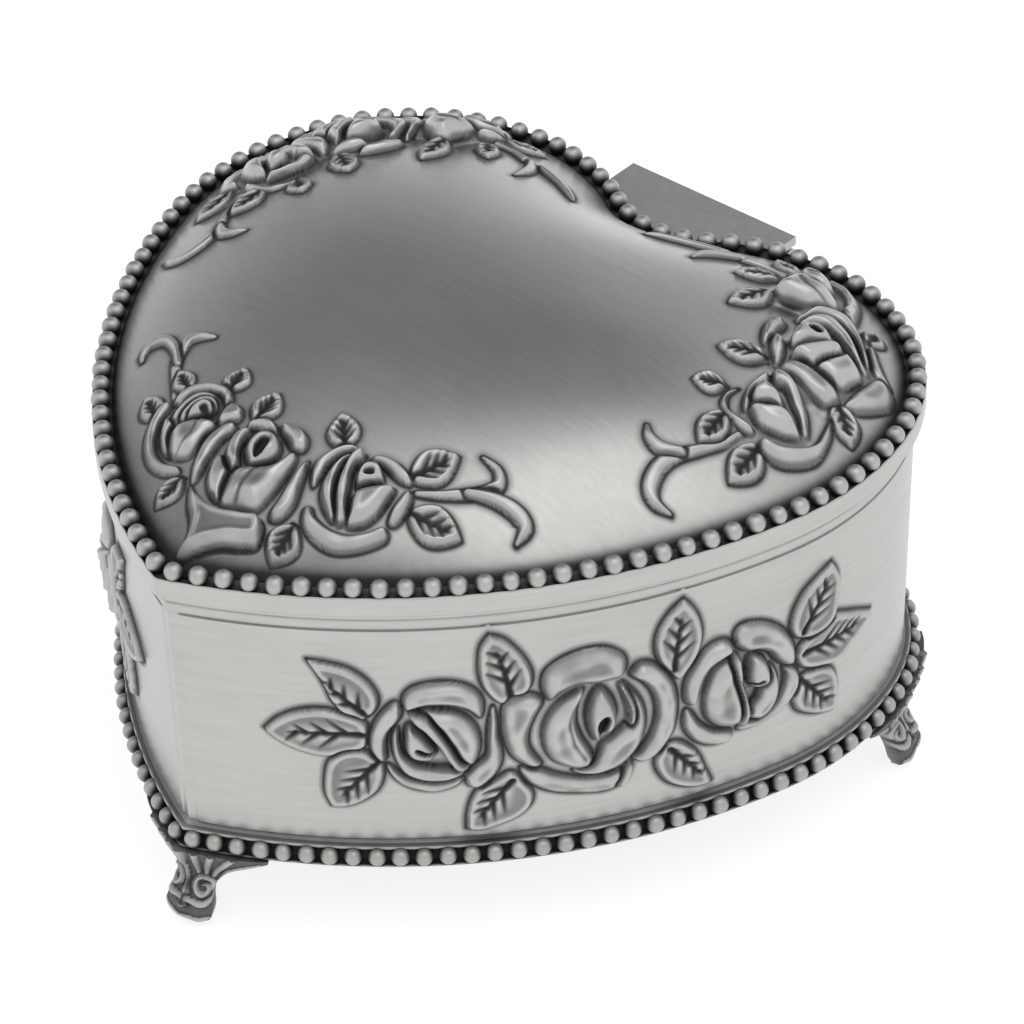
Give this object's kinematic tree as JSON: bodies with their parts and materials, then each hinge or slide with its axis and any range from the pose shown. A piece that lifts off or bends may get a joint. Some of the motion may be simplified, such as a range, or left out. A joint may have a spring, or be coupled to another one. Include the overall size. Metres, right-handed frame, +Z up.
{
  "type": "wind-up music box",
  "caption": "Heart-shaped footed keepsake casket in antique pewter with a hinged rose-relief lid and a wind-up comb movement under its lined tray.",
  "frame": {"origin": "bottom centre of the bounding box, on the table under the middle of the casket", "axes": "+Z up, +Y from the heart's point towards the notch and the hinge, +X across the lobes"},
  "size_m": [0.1034, 0.101, 0.065],
  "materials": {
    "antique_pewter": "antique pewter over cast zinc alloy: brushed satin, dark patina in the recesses of the relief",
    "hinge_metal": "plain grey plated steel, matt",
    "black_plate": "matt black lacquer",
    "velvet": "short-pile velvet",
    "tray_board": "moulded, matt black",
    "gold_plate": "cast zinc, brass plated",
    "brass": "turned and cut brass, polished",
    "nickel_steel": "nickel plated steel",
    "comb_steel": "ground and hardened steel, fine lengthwise grind",
    "spring_steel": "blued spring steel",
    "screw_steel": "zinc plated steel",
    "ivory_plastic": "moulded acetal, ivory"
  },
  "bodies": {
    "casket": {"casket_body": "antique_pewter", "base_rim": "antique_pewter", "foot_front": "antique_pewter", "foot_left": "antique_pewter", "foot_right": "antique_pewter", "bottom_plate": "black_plate", "bottom_screws": "screw_steel", "hinge_leaf_body": "hinge_metal", "hinge_pin": "hinge_metal", "inner_tray": "tray_board", "tray_lining": "velvet", "movement_bedplate": "gold_plate", "movement_screws": "screw_steel", "spring_housing": "nickel_steel", "housing_screws": "screw_steel", "mainspring": "spring_steel", "bearing_post_left": "nickel_steel", "bearing_post_right": "nickel_steel", "comb": "comb_steel", "comb_base": "gold_plate", "comb_screws": "screw_steel", "governor_frame": "ivory_plastic", "governor_screws": "screw_steel", "stop_rod_guide": "nickel_steel"},
    "lid": {"lid_shell": "antique_pewter", "lid_lining": "velvet", "hinge_leaf_lid": "hinge_metal"},
    "drive": {"great_wheel": "brass", "click_pawl": "nickel_steel", "click_screw": "screw_steel"},
    "winder": {"winding_arbor": "nickel_steel", "ratchet_wheel": "nickel_steel", "winding_key": "nickel_steel"},
    "cylinder": {"cylinder_drum": "brass", "cylinder_arbor": "nickel_steel", "cylinder_pinion": "brass", "cylinder_gear": "brass"},
    "governor": {"governor_arbor": "nickel_steel", "governor_pinion": "brass", "governor_wheel": "ivory_plastic"},
    "fan": {"fan_arbor": "nickel_steel", "air_fan": "ivory_plastic"},
    "stopper": {"stop_rod": "brass"}
  },
  "joints": [
    {"name": "lid_hinge", "type": "hinge", "parent": "casket", "child": "lid", "pos_m": [0, 0.04897, 0.0473], "axis": [-1, 0, 0], "range_deg": [0, 95]},
    {"name": "great_wheel_spin", "type": "hinge", "parent": "casket", "child": "drive", "pos_m": [-0.014, 0.006, 0.023], "axis": [0, 0, -1], "continuous": true},
    {"name": "key_winding", "type": "hinge", "parent": "drive", "child": "winder", "pos_m": [-0.014, 0.006, 0.023], "axis": [0, 0, 1], "range_deg": [0, 1260]},
    {"name": "cylinder_spin", "type": "hinge", "parent": "casket", "child": "cylinder", "pos_m": [0.009, 0.006, 0.0278], "axis": [-1, 0, 0], "continuous": true},
    {"name": "governor_spin", "type": "hinge", "parent": "casket", "child": "governor", "pos_m": [0.02, 0.01437, 0.02297], "axis": [1, 0, 0], "continuous": true},
    {"name": "fan_spin", "type": "hinge", "parent": "casket", "child": "fan", "pos_m": [0.0205, 0.02043, 0.025], "axis": [0, 0, -1], "continuous": true},
    {"name": "stop_rod_lift", "type": "slide", "parent": "casket", "child": "stopper", "axis": [0, 0, 1], "range_m": [0, 0.003]}
  ],
  "couplings": [
    {"joint": "cylinder_spin", "follows": "great_wheel_spin", "ratio": 3},
    {"joint": "governor_spin", "follows": "great_wheel_spin", "ratio": 9},
    {"joint": "fan_spin", "follows": "great_wheel_spin", "ratio": 108},
    {"joint": "stop_rod_lift", "follows": "lid_hinge", "m_per_rad": 0.0018}
  ]
}
